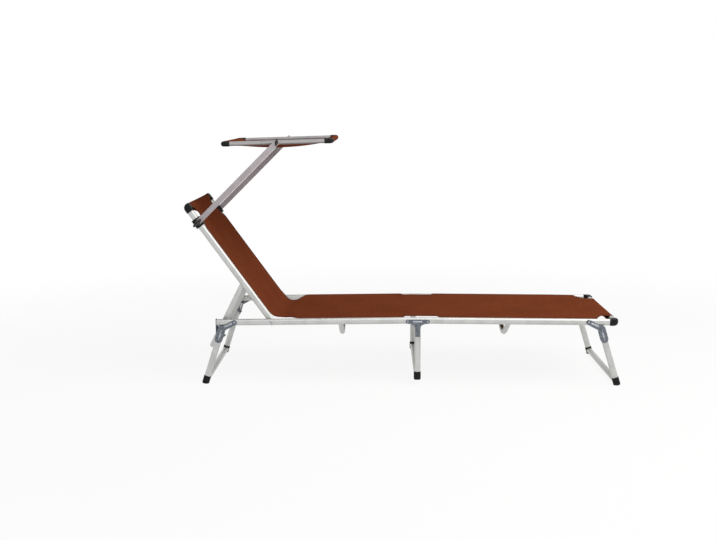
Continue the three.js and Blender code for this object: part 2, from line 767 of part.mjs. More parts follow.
// A moulded elbow with one end on a side tube and the other on a cross tube
function canopyElbow() {
  const centreReach = canopyCornerLength - canopyTubeDiameter / 2 - canopyCornerBulge / 2;
  const turn = new THREE.CurvePath();
  const turnStart = centreReach - canopyBendRadius / 2;
  const start = new THREE.Vector3(0, canopyTubeCentre, 0);
  const bendStart = new THREE.Vector3(turnStart, canopyTubeCentre, 0);
  const knee = new THREE.Vector3(centreReach, canopyTubeCentre, 0);
  const bendEnd = new THREE.Vector3(centreReach, canopyTubeCentre - canopyBendRadius / 2, 0);
  const end = new THREE.Vector3(centreReach, canopyTubeCentre - canopyCornerLength, 0);
  turn.add(new THREE.LineCurve3(start, bendStart));
  turn.add(new THREE.QuadraticBezierCurve3(bendStart, knee, bendEnd));
  turn.add(new THREE.LineCurve3(bendEnd, end));
  return new THREE.ExtrudeGeometry(roundSection(canopyTubeDiameter + canopyCornerBulge, 0), {
    extrudePath: turn,
    steps: bendSteps * 4,
    curveSegments: roundSegments,
  });
}

function addCanopyFrame() {
  const tube = straightTube(roundSection(canopyTubeDiameter, canopyTubeWall), canopyTubeEnd * 2, roundSegments);
  tube.rotateY(Math.PI / 2).translate(-canopyTubeEnd, canopyTubeCentre, 0);
  const screwHole = bore(screwPinRadius, canopyTubeDiameter).translate(0, canopyTubeCentre + canopyTubeDiameter, 0);
  addPair(canopy, 'canopy_side_tube', 'aluminium', cut(tube, [screwHole]));
  const barReach = canopyCornerLength - canopyTubeDiameter / 2 - canopyCornerBulge / 2;
  const halfWidth = canopyTubeCentre - canopyCornerLength - seatGap;
  for (const [name, way] of [['front', 1], ['rear', -1]]) {
    const end = new THREE.Group();
    end.position.x = way * (canopyTubeEnd + seatGap);
    end.scale.x = way;
    canopy.add(end);
    addPair(end, `canopy_${name}_corner`, 'plastic', canopyElbow());
    const bar = piece(`canopy_${name}_bar`, 'aluminium', crossBar(roundSection(canopyTubeDiameter, canopyTubeWall), halfWidth));
    bar.position.x = barReach;
    end.add(bar);
  }
}

// A closed sheet whose stations, half width and height are given along local X
function sheet(stations, halfWidth, height) {
  const rows = stations.length;
  const columns = fabricColumns + 1;
  const positions = [];
  for (const face of [1, -1]) {
    for (const station of stations) {
      for (let column = 0; column < columns; column += 1) {
        const across = (column / fabricColumns) * 2 - 1;
        positions.push(station, across * halfWidth(station), height(station, across) + face * fabricThickness / 2);
      }
    }
  }
  const at = (layer, row, column) => (layer * rows + row) * columns + column;
  const index = [];
  const quad = (a, b, c, d) => index.push(a, b, c, a, c, d);
  for (let row = 0; row + 1 < rows; row += 1) {
    for (let column = 0; column + 1 < columns; column += 1) {
      quad(at(0, row, column), at(0, row + 1, column), at(0, row + 1, column + 1), at(0, row, column + 1));
      quad(at(1, row, column), at(1, row, column + 1), at(1, row + 1, column + 1), at(1, row + 1, column));
    }
    quad(at(0, row, 0), at(1, row, 0), at(1, row + 1, 0), at(0, row + 1, 0));
    quad(at(0, row, columns - 1), at(0, row + 1, columns - 1), at(1, row + 1, columns - 1), at(1, row, columns - 1));
  }
  for (let column = 0; column + 1 < columns; column += 1) {
    quad(at(0, 0, column), at(0, 0, column + 1), at(1, 0, column + 1), at(1, 0, column));
    quad(at(0, rows - 1, column), at(1, rows - 1, column), at(1, rows - 1, column + 1), at(0, rows - 1, column + 1));
  }
  const geometry = new THREE.BufferGeometry();
  geometry.setAttribute('position', new THREE.Float32BufferAttribute(positions, 3));
  geometry.setIndex(index);
  geometry.computeVertexNormals();
  return geometry;
}

// Even stations from start to end, with the given breaks among them
function stationsBetween(start, end, breaks) {
  const count = Math.max(2, Math.round((end - start) / fabricRowLength));
  const even = Array.from({ length: count + 1 }, (_, step) => start + ((end - start) * step) / count);
  const inside = breaks.filter((station) => station > start && station < end);
  const clear = even.filter((station, step) => step === 0 || step === count
    || inside.every((other) => Math.abs(other - station) > notchRamp / 2));
  return [...clear, ...inside].sort((a, b) => a - b);
}

const sagShape = (across) => 1 - across * across;

// The fabric is cut back from the rails where the brackets and the hinge need room
function notchedWidth(fullWidth, notches) {
  return (station) => {
    const cutBack = notches.map(([start, end]) => {
      const inside = Math.min(station - start, end - station) / notchRamp;
      return THREE.MathUtils.clamp(inside, 0, 1) * notchDepth;
    });
    return fullWidth - Math.max(0, ...cutBack);
  };
}

function notchBreaks(notches) {
  return notches.flatMap(([start, end]) => [start, start + notchRamp, end - notchRamp, end]);
}

function addSeatFabric(parent, name, start, end, notches) {
  const width = notchedWidth(railCentre - fabricEdgeInset, notches);
  const height = (station, across) => fabricLift - seatSag * sagShape(across);
  const panel = sheet(stationsBetween(start, end, notchBreaks(notches)), width, height);
  parent.add(piece(name, 'fabric', panel));
}

function addFabrics() {
  const middleGap = railJointGap / 2 + seatGap;
  addSeatFabric(rearHalf, 'seat_fabric', hipGap / 2, middleStation - middleGap, [
    [-hipNotchEnd, hipNotchEnd],
    [middleNotchStart, middleNotchEnd],
  ]);
  addSeatFabric(footHalf, 'foot_fabric', middleGap, footRailEnd - hipGap / 2, [
    [middleNotchStart - middleStation, middleNotchEnd - middleStation],
    [footNotchStart - middleStation, footEndStation - middleStation],
  ]);
  const headEnd = backrestLength - cornerLength - hipGap / 2;
  const clampNotch = clampLength / 2 + clampNotchMargin;
  const backNotches = [[-clampReach - clampNotch, -clampReach + clampNotch]];
  const backWidth = notchedWidth(backrestCentre - fabricEdgeInset, backNotches);
  const backHeight = (station, across) => fabricLift - backrestSag * sagShape(across);
  const backStations = stationsBetween(-headEnd, -backrestFabricStart, notchBreaks(backNotches));
  const back = sheet(backStations, backWidth, backHeight);
  backrest.add(piece('backrest_fabric', 'fabric', back));
  const canopyEnd = canopyTubeEnd - seatGap;
  const canopyWidth = () => canopyTubeCentre - canopyTubeDiameter / 2 - seatGap;
  const canopyHeight = (station, across) => -canopySag * sagShape(across) * sagShape(station / canopyEnd);
  const cover = sheet(stationsBetween(-canopyEnd, canopyEnd, []), canopyWidth, canopyHeight);
  canopy.add(piece('canopy_fabric', 'fabric', cover));
}

addRearRails();
addFootRails();
addBows();
addFootEnd();
addLegSet('rear_leg', -rearLegStation, -1);
addLegSet('foot_leg', footLegStation, 1);
addMiddleLegs();
addBackrestFrame();
addStrut();
addRatchets();
addClamps();
addCanopyArms();
addHandScrews();
addCanopyFrame();
addFabrics();

// The origin is on the floor, under the middle of the whole lounger
lounger.updateMatrixWorld(true);
const extent = new THREE.Box3().setFromObject(lounger, true);
lounger.position.x = -(extent.min.x + extent.max.x) / 2;

export default lounger;
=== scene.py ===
"""Folding sun lounger with a tilting canopy: the sling, the canopy cloth, the trims and the finishes."""

import json
import logging
import math
from dataclasses import dataclass, field
from enum import Enum
from functools import cached_property
from typing import Callable, Sequence

import bpy
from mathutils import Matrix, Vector


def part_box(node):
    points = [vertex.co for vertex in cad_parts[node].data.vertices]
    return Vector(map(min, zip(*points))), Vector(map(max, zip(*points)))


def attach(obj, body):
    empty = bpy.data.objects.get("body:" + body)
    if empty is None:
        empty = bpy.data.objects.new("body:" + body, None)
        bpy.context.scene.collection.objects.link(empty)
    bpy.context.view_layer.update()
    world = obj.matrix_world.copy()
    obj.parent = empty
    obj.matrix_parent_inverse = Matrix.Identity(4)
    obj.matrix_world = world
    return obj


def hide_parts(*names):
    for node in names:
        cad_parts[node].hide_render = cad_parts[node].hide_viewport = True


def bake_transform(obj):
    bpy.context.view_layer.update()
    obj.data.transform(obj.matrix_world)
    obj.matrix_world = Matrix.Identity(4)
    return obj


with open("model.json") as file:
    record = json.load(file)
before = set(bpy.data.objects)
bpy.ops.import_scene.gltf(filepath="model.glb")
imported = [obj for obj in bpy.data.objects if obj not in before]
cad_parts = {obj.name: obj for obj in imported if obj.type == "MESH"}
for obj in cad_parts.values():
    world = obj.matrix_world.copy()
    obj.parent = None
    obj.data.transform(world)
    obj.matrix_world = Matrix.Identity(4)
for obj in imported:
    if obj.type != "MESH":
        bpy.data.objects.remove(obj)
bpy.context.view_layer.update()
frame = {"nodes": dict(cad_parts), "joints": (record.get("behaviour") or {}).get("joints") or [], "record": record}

logging.basicConfig(level=logging.INFO, format="%(name)s: %(message)s")
LOG = logging.getLogger("sun_lounger")

Point = tuple[float, float]
Place = tuple[float, float, float]
Colour = tuple[float, float, float, float]
Socket = bpy.types.NodeSocket


def mm(value: float) -> float:
    """Turns millimetres into Blender's metres."""
    return value / 1000.0


def per_mm(size: float) -> float:
    """Gives the scale at which a pattern repeats about once in a size in mm."""
    return 1 / mm(size)


def joint_place(name: str) -> Vector:
    """Gives a joint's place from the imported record, in metres."""
    return next(Vector(joint["pos_m"]) for joint in frame["joints"] if joint["name"] == name)


def middle(node: str) -> Vector:
    """Gives the middle of a CAD node's box, in metres."""
    low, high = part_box(node)
    return (low + high) / 2


HINGE = joint_place("backrest_hinge")


def linear(hex_colour: str) -> Colour:
    """Turns an sRGB hex value into linear colour.

    Args:
        hex_colour: six hex digits after a #.

    Returns:
        Red, green, blue and alpha.
    """
    knee, slope, offset, power = 0.04045, 12.92, 0.055, 2.4
    values = [int(hex_colour[i:i + 2], 16) / 255 for i in (1, 3, 5)]
    turned = [v / slope if v <= knee else ((v + offset) / (1 + offset)) ** power for v in values]
    return turned[0], turned[1], turned[2], 1.0


def tone(grey: float) -> Colour:
    """Gives a linear grey."""
    return grey, grey, grey, 1.0


def add_node(tree: bpy.types.NodeTree, kind: str, settings: dict | None = None,
             links: dict[str | int, Socket] | None = None) -> bpy.types.Node:
    """Adds a node with its settings and links.

    Args:
        tree: the node tree it goes into.
        kind: Blender's name for the node type.
        settings: values for sockets, by name or index, and for properties, by a name that starts with a dot.
        links: sockets that feed its inputs, by name or index.

    Returns:
        The node.
    """
    node = tree.nodes.new(kind)
    for key, value in (settings or {}).items():
        if isinstance(key, str) and key.startswith("."):
            setattr(node, key[1:], value)
        else:
            node.inputs[key].default_value = value
    for key, socket in (links or {}).items():
        tree.links.new(socket, node.inputs[key])
    return node


# ---- finishes


class Surface:
    """A new material with one Principled shader, and the few kinds of node that the finishes are made of."""

    def __init__(self, name: str) -> None:
        """Makes the material under its name."""
        self.material = bpy.data.materials.new(name)
        self.material.use_nodes = True
        self.tree = self.material.node_tree
        self.shader = self.tree.nodes["Principled BSDF"]

    def object_place(self) -> Socket:
        """Adds the object's own coordinates, in metres."""
        return add_node(self.tree, "ShaderNodeTexCoord").outputs["Object"]

    def mapping(self, vector: Socket, **settings: Place) -> Socket:
        """Adds a turned or a scaled copy of a vector."""
        return add_node(self.tree, "ShaderNodeMapping", settings, {"Vector": vector}).outputs["Vector"]

    def noise(self, vector: Socket, scale: float, **settings: float) -> Socket:
        """Adds a cloudy noise and gives its factor."""
        made = add_node(self.tree, "ShaderNodeTexNoise", {"Scale": scale, **settings}, {"Vector": vector})
        return made.outputs["Fac"]

    def ramp(self, factor: Socket, band: Point, low: Colour, high: Colour) -> Socket:
        """Adds a ramp from one linear colour to another while a factor runs over a band."""
        node = add_node(self.tree, "ShaderNodeValToRGB", links={"Fac": factor})
        for element, position, colour in zip(node.color_ramp.elements, band, (low, high)):
            element.position = position
            element.color = colour
        return node.outputs["Color"]

    def multiply(self, base: Socket, shade: Socket) -> Socket:
        """Adds the product of two colours."""
        made = add_node(self.tree, "ShaderNodeMix", {".data_type": "RGBA", ".blend_type": "MULTIPLY", 0: 1.0},
                        {6: base, 7: shade})
        return made.outputs[2]

    def roughness(self, factor: Socket, span: Point, band: Point = (0.0, 1.0)) -> None:
        """Lets the roughness run over a span while a factor runs over a band."""
        made = add_node(self.tree, "ShaderNodeMapRange",
                        {"From Min": band[0], "From Max": band[1], "To Min": span[0], "To Max": span[1]},
                        {"Value": factor})
        self.tree.links.new(made.outputs["Result"], self.shader.inputs["Roughness"])

    def bump(self, height: Socket, strength: float, depth_mm: float) -> None:
        """Adds a bump of a depth in mm to the shader."""
        made = add_node(self.tree, "ShaderNodeBump", {"Strength": strength, "Distance": mm(depth_mm)},
                        {"Height": height})
        self.tree.links.new(made.outputs["Normal"], self.shader.inputs["Normal"])

    def finish(self, base: Socket, constants: dict[str, float]) -> bpy.types.Material:
        """Links the base colour, sets other sockets by name to constants, and gives the material."""
        self.tree.links.new(base, self.shader.inputs["Base Color"])
        for name, value in constants.items():
            self.shader.inputs[name].default_value = value
        return self.material


class Grain(Enum):
    """Which way a tube's drawing lines run: the turn about Y from the lounger's length, in degrees."""

    RAIL = 0.0
    CANOPY = 1.5
    BACKREST = 54.0
    REAR_LEG = 118.0
    FOOT_LEG = 62.0
    UPRIGHT = 90.0
    STRUT = 117.0
    ACROSS = 360.0


@dataclass(frozen=True)
class DrawnAluminium:
    """Extruded aluminium tube, satin anodised: soft wide highlights with faint lines along the tube."""

    grain: Grain
    colour: str = "#C5C6C3"
    dull_colour: str = "#BBBCB9"
    metallic: float = 0.92
    roughness: Point = (0.35, 0.49)
    roughness_band: Point = (0.3, 0.7)
    line_spacing_mm: float = 2.5  # real drawing lines are 0.2 mm apart, too fine for the render
    line_length_mm: float = 320.0
    line_band: Point = (0.3, 0.65)
    line_tone: float = 0.95
    line_bump: float = 0.05
    line_depth_mm: float = 0.15
    scuff_mm: float = 55.0
    scuff_band: Point = (0.38, 0.56)

    def build(self) -> bpy.types.Material:
        """Makes the material and returns it."""
        surface = Surface(f"drawn_aluminium_{self.grain.name.lower()}")
        here = surface.object_place()
        crosswise = self.grain is Grain.ACROSS
        turn = (0.0, 0.0, math.pi / 2) if crosswise else (0.0, math.radians(self.grain.value), 0.0)
        fine = per_mm(self.line_spacing_mm)
        turned = surface.mapping(here, Rotation=turn)
        drawn = surface.mapping(turned, Scale=(per_mm(self.line_length_mm), fine, fine))
        lines = surface.noise(drawn, 1.0, Detail=3.0)
        scuffs = surface.noise(here, per_mm(self.scuff_mm), Detail=5.0, Roughness=0.62)
        base = surface.ramp(scuffs, self.scuff_band, linear(self.dull_colour), linear(self.colour))
        streak = surface.ramp(lines, self.line_band, tone(self.line_tone), tone(1.0))
        surface.roughness(scuffs, self.roughness, self.roughness_band)
        surface.bump(lines, self.line_bump, self.line_depth_mm)
        return surface.finish(surface.multiply(base, streak), {"Metallic": self.metallic})


@dataclass(frozen=True)
class CloudedFinish:
    """A surface whose colour changes in soft clouds over a fine relief."""

    name: str
    low_colour: str
    high_colour: str
    cloud_mm: float
    cloud_detail: float
    cloud_band: Point
    roughness: float | Point  # one value, or a span that follows the clouds
    relief_mm: float = 0.0
    relief_detail: float = 0.0
    bump: Point = (0.0, 0.0)  # strength, and depth in mm
    constants: tuple[tuple[str, float], ...] = ()

    def relief(self, surface: Surface, here: Socket) -> Socket:
        """Adds the pattern that the relief follows."""
        return surface.noise(here, per_mm(self.relief_mm), Detail=self.relief_detail)

    def build(self) -> bpy.types.Material:
        """Makes the material and returns it."""
        surface = Surface(self.name)
        here = surface.object_place()
        cloud = surface.noise(here, per_mm(self.cloud_mm), Detail=self.cloud_detail)
        base = surface.ramp(cloud, self.cloud_band, linear(self.low_colour), linear(self.high_colour))
        constants = dict(self.constants)
        if isinstance(self.roughness, tuple):
            surface.roughness(cloud, self.roughness)
        else:
            constants["Roughness"] = self.roughness
        if self.relief_mm:
            surface.bump(self.relief(surface, here), *self.bump)
        return surface.finish(base, constants)


@dataclass(frozen=True)
class PlatedSteel(CloudedFinish):
    """Zinc-plated pressed steel with a blue passivated coat: cool grey with a faint cloudy bloom."""

    name: str = "zinc_plated_steel"
    low_colour: str = "#555A62"
    high_colour: str = "#797E86"
    cloud_mm: float = 9.0
    cloud_detail: float = 4.0
    cloud_band: Point = (0.35, 0.65)
    roughness: float | Point = (0.3, 0.52)
    relief_mm: float = 1.6
    relief_detail: float = 2.0
    bump: Point = (0.15, 0.2)
    constants: tuple[tuple[str, float], ...] = (("Metallic", 0.6),)


@dataclass(frozen=True)
class CoatedFlatBar(CloudedFinish):
    """Flat aluminium bar with a warm grey powder coat: even and satin, with a fine orange peel."""

    name: str = "powder_coated_bar"
    low_colour: str = "#A79FA2"
    high_colour: str = "#B4ACAE"
    cloud_mm: float = 60.0
    cloud_detail: float = 4.0
    cloud_band: Point = (0.35, 0.6)
    roughness: float | Point = 0.42
    relief_mm: float = 2.2
    relief_detail: float = 1.0
    bump: Point = (0.1, 0.12)
    constants: tuple[tuple[str, float], ...] = (("Metallic", 0.25),)


@dataclass(frozen=True)
class MouldedPolypropylene(CloudedFinish):
    """Black polypropylene moulded in a spark-eroded tool: matt, with a fine even grain and worn edges."""

    name: str = "moulded_polypropylene"
    low_colour: str = "#161616"
    high_colour: str = "#242425"
    cloud_mm: float = 14.0
    cloud_detail: float = 5.0
    cloud_band: Point = (0.5, 0.75)
    roughness: float | Point = 0.55
    relief_mm: float = 1.5  # the real grain is 0.3 mm, too fine for the render
    bump: Point = (0.2, 0.15)
    constants: tuple[tuple[str, float], ...] = (("Specular IOR Level", 0.15),)

    def relief(self, surface: Surface, here: Socket) -> Socket:
        """Adds the grain's cells."""
        return add_node(surface.tree, "ShaderNodeTexVoronoi", {"Scale": per_mm(self.relief_mm)},
                        {"Vector": here}).outputs["Distance"]


@dataclass(frozen=True)
class SpunThread(CloudedFinish):
    """Bonded polyester sewing thread: a matt dark twist on the hems."""

    name: str = "sewing_thread"
    low_colour: str = "#2B160F"
    high_colour: str = "#3E2117"
    cloud_mm: float = 2.0
    cloud_detail: float = 2.0
    cloud_band: Point = (0.4, 0.6)
    roughness: float | Point = 0.8


@dataclass(frozen=True)
class WovenMesh:
    """PVC-coated polyester yarn in a basket weave: matt brown, lighter on the crowns of the yarn, with painted
    shade darkening the gaps between them.
    """

    name: str = "coated_mesh"
    yarn_colour: str = "#8E4B2F"
    # painted shade in the gaps between the yarns
    gap_shade_colour: str = "#68331F"
    roughness: float = 0.72
    specular: float = 0.0
    weave_mm: float = 5.0  # the real weave repeats every 1.6 mm, too fine for the render
    weave_band: Point = (0.05, 0.6)
    weave_bump: float = 0.3
    weave_depth_mm: float = 0.5
    waves_per_unit: float = 20.0  # Blender's wave texture repeats 20 / (2 pi) times per unit at scale 1
    fade_mm: float = 190.0
    fade_band: Point = (0.35, 0.62)
    fade_tone: float = 0.88

    def build(self) -> bpy.types.Material:
        """Makes the material and returns it."""
        surface = Surface(self.name)
        tree = surface.tree
        flat = add_node(tree, "ShaderNodeUVMap", {".uv_map": "flat"}).outputs["UV"]
        checks = add_node(tree, "ShaderNodeTexChecker",
                          {"Scale": per_mm(self.weave_mm), "Color1": tone(1.0), "Color2": tone(0.0)},
                          {"Vector": flat}).outputs["Fac"]
        wave = 2 * math.pi / (self.waves_per_unit * mm(self.weave_mm))
        warp, weft = (add_node(tree, "ShaderNodeTexWave", {".bands_direction": way, "Scale": wave},
                               {"Vector": flat}).outputs["Fac"] for way in ("X", "Y"))
        weave = add_node(tree, "ShaderNodeMix", {".data_type": "FLOAT"},
                         {0: checks, 2: warp, 3: weft}).outputs[0]
        fade = surface.noise(flat, per_mm(self.fade_mm), Detail=5.0, Roughness=0.6)
        # painted shade: the colour darkens from the crowns of the yarn to the gaps of the weave
        yarn = surface.ramp(weave, self.weave_band, linear(self.gap_shade_colour), linear(self.yarn_colour))
        faded = surface.ramp(fade, self.fade_band, tone(self.fade_tone), tone(1.0))
        surface.bump(weave, self.weave_bump, self.weave_depth_mm)
        return surface.finish(surface.multiply(yarn, faded),
                              {"Roughness": self.roughness, "Specular IOR Level": self.specular})


# ---- the lounger's lines


@dataclass(frozen=True)
class FrameLines:
    """The centre lines that the cloth follows, in the side view, in mm from the backrest hinge."""

    rear_tilt: float = math.atan2(10.5, 770)  # the rear rails rise 10.5 mm over 770 mm to the fold
    foot_tilt: float = math.atan2(4.5, 765)  # the foot rails drop 4.5 mm over 765 mm from the fold
    fold: float = 559.0
    backrest: float = math.radians(54.0)
    lift: float = 12.5  # from a tube's centre line to the cloth on it

    def rail(self, station: float, lift: float = 0.0) -> Point:
        """Gives the point that is lift above the rails' centre line at a station."""
        rise = (station - self.fold) * math.tan(self.rear_tilt if station < self.fold else -self.foot_tilt)
        return station, self.fold * math.tan(self.rear_tilt) + rise + lift

    def back(self, reach: float, lift: float = 0.0) -> Point:
        """Gives the point that is lift in front of the backrest tubes at a reach up from the hinge."""
        cos, sin = math.cos(self.backrest), math.sin(self.backrest)
        return -reach * cos + lift * sin, reach * sin + lift * cos


LINES = FrameLines()


def place(point: Point, across: float) -> Vector:
    """Turns a point of the side view and a distance to the left, in mm, into the frame's metres."""
    return Vector((HINGE.x + mm(point[0]), mm(across), HINGE.z + mm(point[1])))


def side_view(spot: Vector) -> Point:
    """Turns a place in metres into the side view's mm from the hinge."""
    return (spot.x - HINGE.x) * 1000, (spot.z - HINGE.z) * 1000


def smooth(value: float, low: float, high: float) -> float:
    """Rises smoothly from 0 at low to 1 at high."""
    t = min(1.0, max(0.0, (value - low) / (high - low)))
    return t * t * (3 - 2 * t)


def chain(points: Sequence[Point], counts: Sequence[int]) -> list[Point]:
    """Follows cubic curves that share their ends.

    Args:
        points: the first end, then two handles and an end for each curve.
        counts: how many points each curve gives.

    Returns:
        The points after the first end.
    """
    found = []
    for number, count in enumerate(counts):
        curve = points[3 * number:3 * number + 4]
        for t in (step / count for step in range(1, count + 1)):
            weights = ((1 - t) ** 3, 3 * t * (1 - t) ** 2, 3 * t * t * (1 - t), t ** 3)
            found.append(tuple(sum(k * p[axis] for k, p in zip(weights, curve)) for axis in (0, 1)))
    return found


def mesh_object(name: str, points: Sequence[Vector], faces: Sequence[Sequence[int]],
                material: bpy.types.Material) -> bpy.types.Object:
    """Makes a smooth-shaded mesh object.

    Args:
        name: the object's name.
        points: its places in metres.
        faces: its faces by point number.
        material: its finish.

    Returns:
        The linked object.
    """
    mesh = bpy.data.meshes.new(name)
    mesh.from_pydata([tuple(p) for p in points], [], [list(f) for f in faces])
    mesh.validate()
    mesh.shade_smooth()
    mesh.materials.append(material)
    made = bpy.data.objects.new(name, mesh)
    bpy.context.scene.collection.objects.link(made)
    return made


# ---- cloth


@dataclass(frozen=True)
class Row:
    """One row of a cloth: where its edge and its middle run in the side view, and half its width, in mm."""

    edge: Point
    middle: Point
    half: float


@dataclass
class ClothSheet:
    """A sheet of cloth with folded hems along its sides, built row by row, with its sizes in mm."""

    name: str
    rows: list[Row]
    material: bpy.types.Material
    start_length: float = 0.0
    thickness: float = 1.1
    hem_width: float = 22.0
    hem_thickness: float = 2.0
    hem_steps: tuple[float, ...] = (0.06, 0.5, 0.94, 1.0)
    hem_margin: float = 0.001  # against rounding where the hem starts
    columns: int = 24
    crease_angle: float = 35.0
    ripple: Callable[[float, float], float] | None = None

    @cached_property
    def hem_share(self) -> float:
        """Where the hems start, as a share of the half width."""
        return 1 - self.hem_width / max(row.half for row in self.rows)

    @cached_property
    def shares(self) -> list[float]:
        """The columns' places as shares of the half width, with a step at each hem."""
        start = self.hem_share
        inner = [-start + 2 * start * i / self.columns for i in range(self.columns + 1)]
        edge = [start + (1 - start) * k for k in self.hem_steps]
        return [-v for v in reversed(edge)] + inner + edge

    @cached_property
    def lengths(self) -> list[float]:
        """Each row's distance along the cloth, in mm."""
        found = [self.start_length]
        for a, b in zip(self.rows, self.rows[1:]):
            found.append(found[-1] + math.hypot(b.edge[0] - a.edge[0], b.edge[1] - a.edge[1]))
        return found

    @cached_property
    def surface(self) -> list[list[Vector]]:
        """The sheet's middle surface as rows of places."""
        found = []
        for row, along in zip(self.rows, self.lengths):
            line = []
            for share in self.shares:
                weight = share * share
                lift = self.ripple(along, share) if self.ripple else 0.0
                spot = (row.middle[0] + (row.edge[0] - row.middle[0]) * weight,
                        row.middle[1] + (row.edge[1] - row.middle[1]) * weight + lift)
                line.append(place(spot, share * row.half))
            found.append(line)
        return found

    @cached_property
    def normals(self) -> list[list[Vector]]:
        """The surface's normals, which point to the upper face."""
        rows, columns = len(self.surface), len(self.shares)
        found = []
        for r in range(rows):
            before, here, after = (self.surface[i] for i in (max(r - 1, 0), r, min(r + 1, rows - 1)))
            found.append([(after[c] - before[c]).cross(here[min(c + 1, columns - 1)] - here[max(c - 1, 0)])
                          .normalized() for c in range(columns)])
        return found

    def spot(self, along: float, inset: float, side: int) -> tuple[Vector, Vector]:
        """Finds a place on the upper face of a hem.

        Args:
            along: its distance along the cloth in mm.
            inset: its distance in from the edge in mm.
            side: -1 for the right side, 1 for the left.

        Returns:
            The place and the normal there.
        """
        r = min(max(i for i, v in enumerate(self.lengths) if v <= along), len(self.lengths) - 2)
        t = (along - self.lengths[r]) / (self.lengths[r + 1] - self.lengths[r])
        half = self.rows[r].half + (self.rows[r + 1].half - self.rows[r].half) * t
        share = side * (half - inset) / half
        c = min(max(i for i, v in enumerate(self.shares) if v <= share), len(self.shares) - 2)
        u = (share - self.shares[c]) / (self.shares[c + 1] - self.shares[c])
        near, far = (self.surface[r + i][c].lerp(self.surface[r + i][c + 1], u) for i in (0, 1))
        normal = self.normals[r][c]
        return near.lerp(far, t) + normal * mm(self.hem_thickness / 2), normal

    def faces(self) -> list[Sequence[int]]:
        """Gives the faces of the upper and the lower skin and of the four rims."""
        rows, columns = len(self.rows), len(self.shares)

        def at(layer: int, r: int, c: int) -> int:
            return (layer * rows + r) * columns + c

        found = []
        for r in range(rows - 1):
            for c in range(columns - 1):
                found.append((at(0, r, c), at(0, r + 1, c), at(0, r + 1, c + 1), at(0, r, c + 1)))
                found.append((at(1, r, c), at(1, r, c + 1), at(1, r + 1, c + 1), at(1, r + 1, c)))
            for c, turn in ((0, 1), (columns - 1, -1)):
                found.append((at(0, r, c), at(1, r, c), at(1, r + 1, c), at(0, r + 1, c))[::turn])
        for c in range(columns - 1):
            for r, turn in ((0, -1), (rows - 1, 1)):
                found.append((at(0, r, c), at(1, r, c), at(1, r, c + 1), at(0, r, c + 1))[::turn])
        return found

    def build(self) -> bpy.types.Object:
        """Builds the closed sheet with its flat measures in a UV map, and returns it."""
        points, flat = [], []
        for face in (1, -1):
            for row, along, line, normals in zip(self.rows, self.lengths, self.surface, self.normals):
                for share, spot, normal in zip(self.shares, line, normals):
                    hemmed = abs(share) > self.hem_share + self.hem_margin
                    thick = self.hem_thickness if hemmed else self.thickness
                    points.append(spot + normal * face * mm(thick / 2))
                    flat.append((mm(share * row.half), mm(along)))
        made = mesh_object(self.name, points, self.faces(), self.material)
        layer = made.data.uv_layers.new(name="flat")
        for loop in made.data.loops:
            layer.data[loop.index].uv = flat[loop.vertex_index]
        made.data.set_sharp_from_angle(angle=math.radians(self.crease_angle))
        return made

    def flat_size(self) -> Place:
        """Gives the flat width, length and area, in metres and square metres."""
        def arc(line: list[Vector]) -> float:
            return sum((b - a).length for a, b in zip(line, line[1:]))

        lengths = self.lengths
        arcs = [arc(line) for line in self.surface]
        area = sum((a + b) / 2 * mm(v - u) for a, b, u, v in zip(arcs, arcs[1:], lengths, lengths[1:]))
        middle_line = [line[len(line) // 2] for line in self.surface]
        return max(arcs), max(arc(middle_line), mm(lengths[-1] - lengths[0])), area


@dataclass(frozen=True)
class StitchLines:
    """Rows of lockstitch along a sheet's side hems, with their sizes in mm."""

    name: str
    sheet: ClothSheet
    material: bpy.types.Material
    insets: tuple[float, ...] = (4.0, 19.0)
    pitch: float = 7.0
    length: float = 5.0
    width: float = 1.1
    height: float = 0.5

    def build(self) -> bpy.types.Object:
        """Builds the stitches as one mesh and returns it."""
        first, last = self.sheet.lengths[0], self.sheet.lengths[-1]
        points, faces = [], []
        for side in (-1, 1):
            for inset in self.insets:
                along = first + self.pitch
                while along < last - self.pitch:
                    self.add_stitch(points, faces, side, inset, along)
                    along += self.pitch
        return mesh_object(self.name, points, faces, self.material)

    def add_stitch(self, points: list[Vector], faces: list[Sequence[int]], side: int, inset: float,
                   along: float) -> None:
        """Adds one stitch as a low three-sided ridge.

        Args:
            points: the mesh's places so far.
            faces: the mesh's faces so far.
            side: -1 for the right side, 1 for the left.
            inset: its distance in from the edge in mm.
            along: where the stitch starts in mm.
        """
        ends = [self.sheet.spot(spot, inset, side) for spot in (along, along + self.length)]
        direction = (ends[1][0] - ends[0][0]).normalized()
        base = len(points)
        for here, normal in ends:
            across = direction.cross(normal).normalized() * mm(self.width / 2)
            points.extend([here - across, here + across, here + normal * mm(self.height)])
        faces.extend([(base, base + 3, base + 5, base + 2), (base + 1, base + 2, base + 5, base + 4),
                      (base, base + 2, base + 1), (base + 3, base + 4, base + 5),
                      (base, base + 1, base + 4, base + 3)])


